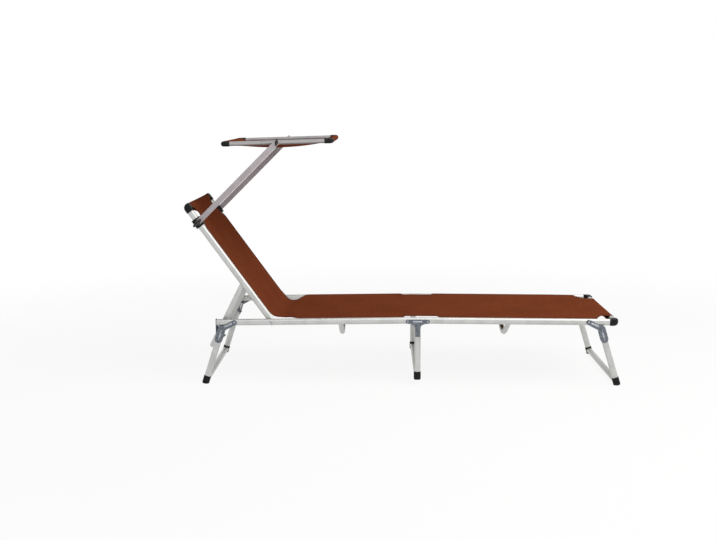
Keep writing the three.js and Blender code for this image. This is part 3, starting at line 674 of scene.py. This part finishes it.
@dataclass(frozen=True)
class Sleeve:
    """The end of a cloth, wrapped round a bar with a tail back under the sheet, in the side view in mm."""

    centre: Point
    outward: Point  # from the sheet past the bar
    upward: Point  # out of the sheet's upper face
    radius: float
    tail: float
    grip: float  # the part of the tail that still follows the bar
    ring_steps: int = 12
    tail_steps: int = 4

    def spot(self, reach: float, rise: float) -> Point:
        """Gives the point at a reach past the bar's centre and a rise over it."""
        return (self.centre[0] + self.outward[0] * reach + self.upward[0] * rise,
                self.centre[1] + self.outward[1] * reach + self.upward[1] * rise)

    def rows(self, half: float, tail_half: float, level: Callable[[float], float]) -> list[Row]:
        """Gives the sleeve's rows.

        Args:
            half: half the sleeve's width.
            tail_half: half the width of the tail's end.
            level: gives the tail's final rise over the bar's centre for a distance back from it.

        Returns:
            Rows from the sheet's upper face round the bar to the tail's end.
        """
        found = []
        for step in range(self.ring_steps + 1):
            turn = math.pi * step / self.ring_steps
            here = self.spot(self.radius * math.sin(turn), self.radius * math.cos(turn))
            found.append(Row(here, here, half))
        for step in range(1, self.tail_steps + 1):
            back = self.tail * step / self.tail_steps
            rise = -self.radius + (self.radius + level(back)) * smooth(back, self.grip, self.tail)
            here = self.spot(-back, rise)
            found.append(Row(here, here, half + (tail_half - half) * smooth(back, 0, self.tail)))
        return found


@dataclass(frozen=True)
class HipRipple:
    """The low folds that fan out from the hip."""

    centre: float = 600.0  # the hip's distance along the cloth in mm
    spread: float = 70.0
    height: float = 0.9
    # each wave's share of the height, turns across the cloth, length in mm and phase
    waves: tuple[tuple[float, float, float, float], ...] = ((1.0, 11.0, 26.0, 0.0), (0.6, 19.0, -17.0, 1.3))
    edge_power: int = 8  # how late the folds fade out at the hems

    def __call__(self, along: float, share: float) -> float:
        """Gives the cloth's rise in mm at a distance along it in mm and a share of its half width."""
        away = along - self.centre
        wave = sum(size * math.sin(share * turns + away / length + phase)
                   for size, turns, length, phase in self.waves)
        return self.height * math.exp(-(away / self.spread) ** 2) * wave * (1 - share ** self.edge_power)


# ---- sub-assemblies


@dataclass(frozen=True)
class Sling:
    """The woven sling from the head bar to the foot bar, in three lengths that meet without a seam, in mm.

    A reach runs up the backrest from the hinge and a station runs along the rails from it.
    """

    cloth: bpy.types.Material
    thread: bpy.types.Material
    # half widths
    back_half: float = 256.0
    seat_half: float = 273.0
    head_half: float = 231.0
    head_cut_half: float = 186.0
    hip_half: float = 198.0
    notch_half: float = 249.0
    foot_half: float = 192.0
    # how far the middle hangs under the edges
    back_sag: float = 8.0
    seat_sag: float = 16.0
    hip_sag_share: float = 0.55
    hip_sag_reach: Point = (40.0, 160.0)
    # the backrest's length: the cuts beside the clamps and under the head sleeve
    row_step: float = 13.0
    head_gap: float = 8.0
    head_blend: float = 440.0
    head_cut: Point = (462.0, 492.0)
    head_cut_end: float = 26.0
    clamp_notch: Point = (436.0, 450.0)
    free_drop: float = 2.5
    attach_reach: float = 52.0
    attach_sag_share: float = 0.6
    # the hip, where the cloth leaves the backrest tubes, dips and meets the rails
    hip_level: float = 3.0
    hip_low: float = 50.0
    hip_steps: tuple[int, int] = (10, 7)
    hip_edge: tuple[float, ...] = (12.0, 22.0, 72.0, 84.0)  # the handles: a reach and three stations
    hip_middle: tuple[float, ...] = (14.0, 20.0, 72.0, 88.0)
    hip_drops: tuple[float, ...] = (3.0, 2.0, 1.5)
    hip_narrowing: Point = (0.1, 0.5)
    hip_widening: Point = (0.62, 1.0)
    hip_end: float = 108.0
    hip_gap: float = 12.0
    seat_step: float = 16.0
    back_end: float = 200.0
    # the rails: the notches over the brackets of the middle and the foot legs
    notches: tuple[Point, ...] = ((502.0, 643.0), (1243.0, 1400.0))
    notch_rows: tuple[float, ...] = (0.0, 3.5, 7.0, 11.0)
    rail_step: float = 20.0
    row_clearance: float = 3.0
    foot_gap: float = 20.0
    foot_blend: float = 150.0
    foot_taper: Point = (52.0, 8.0)
    # the sleeves
    sleeve_radius: float = 10.9
    sleeve_tail: float = 34.0
    sleeve_grip: float = 4.0
    tail_gap: float = 3.6
    # where the cloth bends between two bodies, from the hinge and from the fold
    hip_bend: Point = (62.0, 104.0)
    fold_bend: Point = (23.0, 54.0)

    def sleeve(self, node: str, outward: Point, upward: Point, half: float, tail_half: float) -> list[Row]:
        """Wraps the cloth round a CAD node's bar, with the directions and widths that Sleeve takes."""
        wrap = Sleeve(side_view(middle(node)), outward, upward, self.sleeve_radius, self.sleeve_tail,
                      self.sleeve_grip)
        return wrap.rows(half, tail_half, lambda back: LINES.lift - self.tail_gap)

    def back_rows(self) -> list[Row]:
        """Gives the rows from the head sleeve over the hip to the seat."""
        cos, sin = math.cos(LINES.backrest), math.sin(LINES.backrest)
        sleeve = self.sleeve("head_bar", (-cos, sin), (sin, cos), self.head_half, self.head_cut_half)
        rows = list(reversed(sleeve))
        top = rows[-1].edge
        head_reach = -top[0] * cos + top[1] * sin
        reach = head_reach - self.head_gap
        while reach > self.attach_reach:
            wide = smooth(-reach, -self.clamp_notch[1], -self.clamp_notch[0])
            cut = smooth(reach, *self.head_cut)
            cut *= 1 - smooth(reach, head_reach - self.head_cut_end, head_reach - self.head_gap)
            half = self.head_half + (self.back_half - self.head_half) * wide
            half += (self.head_cut_half - self.head_half) * cut
            near_head = smooth(reach, self.head_blend, head_reach)
            full = self.hip_sag_share + (1 - self.hip_sag_share) * smooth(reach, *self.hip_sag_reach)
            sag = self.back_sag * (1 - near_head) * full
            free = self.free_drop * (1 - wide) * (1 - near_head)
            lift = LINES.lift + (self.sleeve_radius - LINES.lift) * near_head
            rows.append(Row(LINES.back(reach, lift - free), LINES.back(reach, lift - sag), half))
            reach -= self.row_step
        rows.extend(self.hip_rows())
        station = self.hip_end + self.hip_gap
        while station <= self.back_end:
            rows.append(self.seat_row(station, self.seat_half))
            station += self.seat_step
        return rows

    def hip_rows(self) -> list[Row]:
        """Gives the rows where the sling leaves the backrest tubes, dips, and meets the rails."""
        low, level, lift = self.hip_low, self.hip_level, LINES.lift
        leave, fall, climb, arrive = self.hip_edge
        edge = chain((LINES.back(self.attach_reach, lift), LINES.back(leave, lift), (fall, level),
                      (low, level), (climb, level), LINES.rail(arrive, lift),
                      LINES.rail(self.hip_end, lift)), self.hip_steps)
        leave, fall, climb, arrive = self.hip_middle
        levels = [level - drop for drop in self.hip_drops]
        seat = LINES.rail(self.hip_end, lift - self.seat_sag)
        centre = chain((LINES.back(self.attach_reach, lift - self.back_sag * self.attach_sag_share),
                        LINES.back(leave, lift - self.back_sag), (fall, levels[0]), (low, levels[1]),
                        (climb, levels[2]), (arrive, seat[1]), seat), self.hip_steps)
        rows = []
        for step, (outer, inner) in enumerate(zip(edge, centre)):
            share = step / (len(edge) - 1)
            free = smooth(share, *self.hip_narrowing) * (1 - smooth(share, *self.hip_widening))
            ends = self.back_half if share < 0.5 else self.seat_half
            rows.append(Row(outer, inner, ends + (self.hip_half - ends) * free))
        return rows

    def seat_row(self, station: float, half: float) -> Row:
        """Gives a row that lies on the rails at a station."""
        return Row(LINES.rail(station, LINES.lift), LINES.rail(station, LINES.lift - self.seat_sag), half)

    def half_at(self, station: float) -> float:
        """Gives half the sling's width over the rails, which is cut back where the brackets need room."""
        slope = self.notch_rows[-1]
        cut = max(smooth(station, start, start + slope) * (1 - smooth(station, end - slope, end))
                  for start, end in self.notches)
        return self.seat_half + (self.notch_half - self.seat_half) * cut

    def flat_rows(self, start: float, end: float) -> list[Row]:
        """Gives evenly spaced rows on the rails, closer together where a notch starts or ends."""
        breaks = [station for first, last in self.notches for offset in self.notch_rows
                  for station in (first + offset, last - offset)]
        count = round((end - start) / self.rail_step)
        stations = [start + (end - start) * i / count for i in range(count + 1)]
        kept = [s for s in stations
                if s in (start, end) or all(abs(s - b) > self.row_clearance for b in breaks)]
        kept += [b for b in breaks if start < b < end]
        return [self.seat_row(s, self.half_at(s)) for s in sorted(kept)]

    def foot_rows(self) -> list[Row]:
        """Gives the rows from the fold to the sleeve round the foot bar."""
        end = side_view(middle("foot_end_bar"))[0] - self.foot_gap
        rows = []
        for row in self.flat_rows(LINES.fold, end):
            station = row.edge[0]
            near = smooth(station, end - self.foot_blend, end)
            lift = LINES.lift + (self.sleeve_radius - LINES.lift) * near
            sag = self.seat_sag * (1 - near)
            taper = smooth(station, end - self.foot_taper[0], end - self.foot_taper[1])
            half = row.half + (self.foot_half - row.half) * taper
            rows.append(Row(LINES.rail(station, lift), LINES.rail(station, lift - sag), half))
        cos, sin = math.cos(LINES.foot_tilt), math.sin(LINES.foot_tilt)
        return rows + self.sleeve("foot_end_bar", (cos, -sin), (sin, cos), self.foot_half, self.foot_half)

    def build(self) -> None:
        """Builds the three lengths with their stitches and hides the CAD's cloth nodes in their place."""
        back = ClothSheet("sling_back", self.back_rows(), self.cloth, ripple=HipRipple())
        seat = ClothSheet("sling_seat", self.flat_rows(self.back_end, LINES.fold), self.cloth,
                          start_length=back.lengths[-1])
        foot = ClothSheet("sling_foot", self.foot_rows(), self.cloth, start_length=seat.lengths[-1])
        hip = LINES.back(self.hip_bend[0]), LINES.rail(self.hip_bend[1])
        near, far = self.fold_bend
        before, after = ((LINES.rail(LINES.fold + a), LINES.rail(LINES.fold + b))
                         for a, b in ((-far, -near), (near, far)))
        spans = [
            (back, "backrest_fabric", ("backrest", "seat_frame"), hip,
             ["head_bar", "backrest_tube_left", "backrest_tube_right", "rear_rail_left", "rear_rail_right"]),
            (seat, "seat_fabric", ("seat_frame", "middle_legs"), before,
             ["rear_rail_left", "rear_rail_right"]),
            (foot, "foot_fabric", ("middle_legs", "foot_frame"), after,
             ["foot_rail_left", "foot_rail_right", "foot_end_bar"]),
        ]
        for sheet, node, bodies, (start, end), rests_on in spans:
            made = sheet.build()
            stitches = StitchLines(sheet.name + "_stitches", sheet, self.thread).build()
            for piece in (made, stitches):
                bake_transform(piece)
            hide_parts(node)
            width, length, area = sheet.flat_size()
            LOG.info("%s: %d points, flat %.3f x %.3f m", sheet.name, len(made.data.vertices), width, length)


@dataclass(frozen=True)
class CanopyCloth:
    """The canopy's cloth: one sagging sheet with a sleeve round the front and the rear bar, in mm."""

    cloth: bpy.types.Material
    thread: bpy.types.Material
    half: float = 251.0
    sleeve_half: float = 225.5
    row_count: int = 28
    sag: float = 26.0
    sag_power: float = 0.8
    edge_drop: float = 8.0
    edge_drop_over: Point = (6.0, 50.0)
    corner_cut: Point = (30.0, 44.0)
    bar_slope: float = 44.0  # how far the sheet takes to come down from the bar's top
    sleeve_radius: float = 9.3
    sleeve_grip: float = 2.0
    tail: float = 26.0
    tail_gap: float = 1.6
    tail_sag_share: float = 0.35

    def rows(self) -> list[Row]:
        """Gives the rows from the tail under the rear bar over the sheet to the tail under the front bar."""
        rear, front = (side_view(middle(f"canopy_{end}_bar")) for end in ("rear", "front"))
        length = math.hypot(front[0] - rear[0], front[1] - rear[1])
        ahead = ((front[0] - rear[0]) / length, (front[1] - rear[1]) / length)
        rear_wrap, front_wrap = (
            Sleeve(bar, (way * ahead[0], way * ahead[1]), (-ahead[1], ahead[0]), self.sleeve_radius,
                   self.tail, self.sleeve_grip) for bar, way in ((rear, -1), (front, 1)))

        def tail_level(back: float) -> float:
            return -self.bowl(back / length) * self.tail_sag_share - self.tail_gap

        rows = list(reversed(rear_wrap.rows(self.sleeve_half, self.sleeve_half, tail_level)))
        for step in range(1, self.row_count):
            share = step / self.row_count
            along = length * share
            near = min(along, length - along)
            half = self.sleeve_half + (self.half - self.sleeve_half) * smooth(near, *self.corner_cut)
            top = self.sleeve_radius * (1 - smooth(near, 0, self.bar_slope))
            edge = top - self.edge_drop * smooth(near, *self.edge_drop_over)
            centre = top - self.bowl(share)
            rows.append(Row(rear_wrap.spot(-along, edge), rear_wrap.spot(-along, centre), half))
        return rows + front_wrap.rows(self.sleeve_half, self.sleeve_half, tail_level)

    def bowl(self, share: float) -> float:
        """Gives the sag below the bars at a share of the way from the rear bar to the front bar, in mm."""
        return self.sag * (4 * share * (1 - share)) ** self.sag_power

    def build(self) -> None:
        """Builds the cloth with its stitches and hangs it on the canopy frame."""
        sheet = ClothSheet("canopy_cloth", self.rows(), self.cloth)
        made = sheet.build()
        stitches = StitchLines("canopy_stitches", sheet, self.thread).build()
        for piece in (made, stitches):
            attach(piece, "canopy")
        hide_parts("canopy_fabric")
        width, length, area = sheet.flat_size()
        LOG.info("canopy_cloth: flat %.3f x %.3f m", width, length)


@dataclass(frozen=True)
class Boss:
    """A raised bead with round ends, or a rivet cap where both ends are the same point, in mm."""

    start: Point
    end: Point
    radius: float
    rise: float
    sides: int = 20
    # the share of the radius and of the rise at each ring of the rounded top
    dome: tuple[Point, ...] = ((1.0, 0.0), (0.94, 0.45), (0.7, 0.8), (0.36, 0.96))

    def add_to(self, points: list[Vector], faces: list[Sequence[int]], face: float, side: int) -> None:
        """Adds the boss to a mesh.

        Args:
            points: the mesh's places so far, added to.
            faces: the mesh's faces so far, added to.
            face: the distance from the middle of the lounger to the face it sits on, in mm.
            side: 1 for the left side and -1 for the right one.
        """
        turn = math.atan2(self.end[1] - self.start[1], self.end[0] - self.start[0])
        first = len(points)
        for share, height in self.dome:
            for step in range(self.sides):
                angle = turn + math.pi / 2 + 2 * math.pi * (step + 0.5) / self.sides
                centre = self.start if step < self.sides // 2 else self.end
                spot = (centre[0] + math.cos(angle) * self.radius * share,
                        centre[1] + math.sin(angle) * self.radius * share)
                points.append(place(spot, side * (face + self.rise * height)))
        top, bottom = len(points), len(points) + 1
        centre = ((self.start[0] + self.end[0]) / 2, (self.start[1] + self.end[1]) / 2)
        points.append(place(centre, side * (face + self.rise)))
        points.append(place(centre, side * face))
        last = first + (len(self.dome) - 1) * self.sides
        for step in range(self.sides):
            after = (step + 1) % self.sides
            for low in range(first, last, self.sides):
                high = low + self.sides
                faces.append((low + step, low + after, high + after, high + step))
            faces.append((last + step, last + after, top))
            faces.append((first + after, first + step, bottom))


@dataclass(frozen=True)
class BracketTrims:
    """The pressed beads and the rivet caps on the legs' zinc brackets and the backrest's hinge, in mm."""

    # a lighter copy of the plated steel: painted highlight on the beads and the rivet caps
    finish: bpy.types.Material
    bracket_face: float = 287.5
    rail_face: float = 285.0
    # radius and rise
    hinge_cap: Point = (6.3, 1.9)
    pivot_cap: Point = (3.8, 2.3)
    leg_cap: Point = (3.0, 2.3)
    leg_bead: Point = (3.95, 1.3)
    middle_bead: Point = (3.55, 1.3)
    middle_bead_reach: float = 15.0
    # a splayed leg from its fold joint: its top, its foot and the rivets down from its top
    leg_top: Point = (47.0, -20.0)
    leg_foot_reach: float = 116.5
    leg_rivets: Point = (14.8, 47.2)
    leg_bead_span: Point = (23.8, 38.2)
    arm_bead_shares: Point = (0.26, 0.76)

    def leg_set(self, joint: str, way: int) -> list[Boss]:
        """Gives the beads and caps of a splayed leg's bracket.

        Args:
            joint: the leg's fold joint.
            way: 1 where the legs lean to the foot end and -1 where they lean to the head.

        Returns:
            Three caps and two beads.
        """
        pivot = side_view(joint_place(joint))
        floor = side_view(Vector((0, 0, 0)))[1]
        top = (pivot[0] + way * self.leg_top[0], pivot[1] + self.leg_top[1])
        foot = (pivot[0] + way * self.leg_foot_reach, floor)
        length = math.hypot(foot[0] - top[0], foot[1] - top[1])

        def between(a: Point, b: Point, share: float) -> Point:
            return a[0] + (b[0] - a[0]) * share, a[1] + (b[1] - a[1]) * share

        rivets = [between(top, foot, down / length) for down in self.leg_rivets]
        arm_bead = [between(pivot, top, share) for share in self.arm_bead_shares]
        leg_bead = [between(top, foot, down / length) for down in self.leg_bead_span]
        return [Boss(pivot, pivot, *self.pivot_cap), *(Boss(spot, spot, *self.leg_cap) for spot in rivets),
                Boss(*arm_bead, *self.leg_bead), Boss(*leg_bead, *self.leg_bead)]

    def middle_set(self) -> list[Boss]:
        """Gives the bead and the caps of the T bracket over the middle legs."""
        rear, front = (side_view(joint_place(name)) for name in ("middle_fold", "foot_frame_fold"))
        level = (rear[1] + front[1]) / 2
        centre = (rear[0] + front[0]) / 2
        ends = [(centre + way * self.middle_bead_reach, level) for way in (-1, 1)]
        return [Boss(rear, rear, *self.pivot_cap), Boss(front, front, *self.pivot_cap),
                Boss(*ends, *self.middle_bead)]

    def build(self) -> None:
        """Builds one piece per set of legs, and one at the hinge, and hangs each on its body."""
        hinge = side_view(HINGE)
        sets = {"rear_legs": (self.bracket_face, self.leg_set("rear_leg_fold", -1)),
                "foot_legs": (self.bracket_face, self.leg_set("foot_leg_fold", 1)),
                "middle_legs": (self.bracket_face, self.middle_set()),
                "seat_frame": (self.rail_face, [Boss(hinge, hinge, *self.hinge_cap)])}
        for body, (face, bosses) in sets.items():
            points, faces = [], []
            for side in (1, -1):
                for boss in bosses:
                    boss.add_to(points, faces, face, side)
            made = mesh_object(f"{body}_trims", points, faces, self.finish)
            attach(made, body)
            LOG.info("%s: %d beads and caps", made.name, 2 * len(bosses))


@dataclass
class FrameFinishes:
    """Gives every CAD node the finish of its real material."""

    grains: dict[str, Grain] = field(default_factory=lambda: {
        "rear_rail": Grain.RAIL, "foot_rail": Grain.RAIL, "canopy_side_tube": Grain.CANOPY,
        "backrest_tube": Grain.BACKREST, "strut_arm": Grain.STRUT,
        "middle_leg": Grain.UPRIGHT, "rear_leg": Grain.REAR_LEG, "foot_leg": Grain.FOOT_LEG})
    handled_stems: tuple[str, ...] = ("clamp_knob", "canopy_screw")
    handled_colours: tuple[str, str] = ("#3B393A", "#6A6664")  # the photo shows these parts greyer
    # painted shade: the canopy tubes get a darker copy of the aluminium, standing for their shaded faces
    canopy_shade_colours: tuple[str, str] = ("#A6A3A3", "#9C999A")  # the photo shows these tubes darker

    def build(self) -> None:
        """Makes the finishes and puts them on the nodes by their slot in the record."""
        aluminium = {grain: DrawnAluminium(grain).build() for grain in Grain if grain is not Grain.CANOPY}
        # painted shade: a darker copy of the aluminium for the canopy tubes
        aluminium[Grain.CANOPY] = DrawnAluminium(Grain.CANOPY, *self.canopy_shade_colours).build()
        shared = {"zinc": PlatedSteel().build(), "arm_metal": CoatedFlatBar().build(),
                  "black_plastic": MouldedPolypropylene().build(), "fabric": WovenMesh("spare_mesh").build()}
        handled = MouldedPolypropylene("handled_polypropylene", *self.handled_colours).build()
        for row in frame["record"]["subparts"]:
            name, slot = row["node"], row["material_slot"]
            stem = name.removesuffix("_left").removesuffix("_right")
            chosen = shared[slot] if slot in shared else aluminium[self.grains.get(stem, Grain.ACROSS)]
            chosen = handled if stem in self.handled_stems else chosen
            data = frame["nodes"][name].data
            data.materials.clear()
            data.materials.append(chosen)
            LOG.info("%s wears %s", name, chosen.name)


# ---- studio


@dataclass(frozen=True)
class SoftLamp:
    """A square lamp that faces the lounger, with its places and its side in metres and its power in watts."""

    name: str
    spot: Place
    size: float
    power: float
    colour: str
    aim: Place = (0.0, 0.0, 0.35)

    def build(self) -> None:
        """Adds the lamp to the scene."""
        data = bpy.data.lights.new(self.name, "AREA")
        data.shape = "SQUARE"
        data.size = self.size
        data.energy = self.power
        data.color = linear(self.colour)[:3]
        made = bpy.data.objects.new(self.name, data)
        made.location = self.spot
        made.rotation_euler = (Vector(self.aim) - Vector(self.spot)).to_track_quat("-Z", "Y").to_euler()
        bpy.context.scene.collection.objects.link(made)


@dataclass(frozen=True)
class Studio:
    """A plain pale floor, soft lamps and the camera."""

    camera_offset: Place = (0.4076, -4.4533, 1.0497)  # metres from the backrest hinge, height from the floor
    pitch: float = 8.26
    yaw: float = 1.049
    lens: float = 55.867
    floor_radius: float = 9.0
    floor_sides: int = 64
    floor_near: float = 1.4
    floor_far: float = 3.4
    floor_glow: float = 0.9
    world_colour: str = "#FAFBFC"
    world_level: float = 0.32
    key_lamp: SoftLamp = SoftLamp("key_lamp", (1.9, -1.4, 2.9), 3.0, 88.0, "#FFFCF8")
    fill_lamp: SoftLamp = SoftLamp("fill_lamp", (0.3, -4.0, 1.7), 2.6, 26.0, "#FAFBFF")

    def add_camera(self) -> None:
        """Adds the camera at the photograph's viewing angle."""
        data = bpy.data.cameras.new("camera")
        data.lens = self.lens
        data.sensor_width = 36.0
        data.sensor_fit = "HORIZONTAL"
        data.clip_end = 60.0
        made = bpy.data.objects.new("camera", data)
        made.location = (HINGE.x + self.camera_offset[0], self.camera_offset[1], self.camera_offset[2])
        made.rotation_euler = (math.radians(90 - self.pitch), 0.0, math.radians(self.yaw))
        bpy.context.scene.collection.objects.link(made)
        bpy.context.scene.camera = made

    def add_floor(self) -> None:
        """Adds the floor, which fades to the white background away from the lounger."""
        turns = [2 * math.pi * step / self.floor_sides for step in range(self.floor_sides)]
        radius = self.floor_radius
        rim = [Vector((radius * math.cos(turn), radius * math.sin(turn), 0)) for turn in turns]
        faces = [(0, 1 + step, 1 + (step + 1) % self.floor_sides) for step in range(self.floor_sides)]
        surface = Surface("pale_floor")
        tree, shader = surface.tree, surface.shader
        shader.inputs["Base Color"].default_value = linear("#FAFAFA")
        shader.inputs["Roughness"].default_value = 0.9
        shader.inputs["Specular IOR Level"].default_value = 0.1
        reach = add_node(tree, "ShaderNodeVectorMath", {".operation": "LENGTH"}, {0: surface.object_place()})
        fade = add_node(tree, "ShaderNodeMapRange", {".interpolation_type": "SMOOTHSTEP",
                                                     "From Min": self.floor_near, "From Max": self.floor_far,
                                                     "To Min": self.floor_glow},
                        {"Value": reach.outputs["Value"]})
        amount = add_node(tree, "ShaderNodeMath", {".operation": "MULTIPLY"},
                          {0: fade.outputs["Result"], 1: self.direct_rays(tree)})
        white = add_node(tree, "ShaderNodeEmission", {"Color": tone(1.0), "Strength": 1.0})
        mixed = add_node(tree, "ShaderNodeMixShader", links={0: amount.outputs[0], 1: shader.outputs[0],
                                                             2: white.outputs[0]})
        tree.links.new(mixed.outputs[0], tree.nodes["Material Output"].inputs["Surface"])
        floor = mesh_object("floor", [Vector((0, 0, 0)), *rim], faces, surface.material)

    @staticmethod
    def direct_rays(tree: bpy.types.NodeTree) -> Socket:
        """Adds the test for camera, glossy and transmission rays, and gives its socket."""
        path = add_node(tree, "ShaderNodeLightPath")
        first = add_node(tree, "ShaderNodeMath", {".operation": "MAXIMUM"},
                         {0: path.outputs["Is Camera Ray"], 1: path.outputs["Is Glossy Ray"]})
        both = add_node(tree, "ShaderNodeMath", {".operation": "MAXIMUM"},
                        {0: first.outputs[0], 1: path.outputs["Is Transmission Ray"]})
        return both.outputs[0]

    def add_world(self) -> None:
        """Adds the even light of the studio, with a white background."""
        world = bpy.data.worlds.new("studio")
        world.use_nodes = True
        tree = world.node_tree
        tree.nodes.clear()
        level = add_node(tree, "ShaderNodeBackground", {"Color": linear(self.world_colour),
                                                        "Strength": self.world_level})
        white = add_node(tree, "ShaderNodeBackground", {"Color": tone(1.0), "Strength": 1.0})
        mixed = add_node(tree, "ShaderNodeMixShader", links={0: self.direct_rays(tree), 1: level.outputs[0],
                                                             2: white.outputs[0]})
        add_node(tree, "ShaderNodeOutputWorld", links={"Surface": mixed.outputs[0]})
        bpy.context.scene.world = world

    def build(self) -> None:
        """Builds the studio."""
        self.add_camera()
        self.add_world()
        self.add_floor()
        self.key_lamp.build()
        self.fill_lamp.build()
        bpy.context.scene.view_settings.view_transform = "Standard"


def main() -> None:
    """Builds the studio, the finishes and every piece in order."""
    Studio().build()
    FrameFinishes().build()
    cloth, thread = WovenMesh().build(), SpunThread().build()
    Sling(cloth, thread).build()
    CanopyCloth(cloth, thread).build()
    # painted highlight: the trims wear a lighter copy of the plated steel, so the beads and rivet caps show as
    # bright bands and dots
    BracketTrims(PlatedSteel("painted_highlight_zinc", "#9DA2A9", "#B4B9BF").build()).build()


if __name__ == "__main__":
    main()
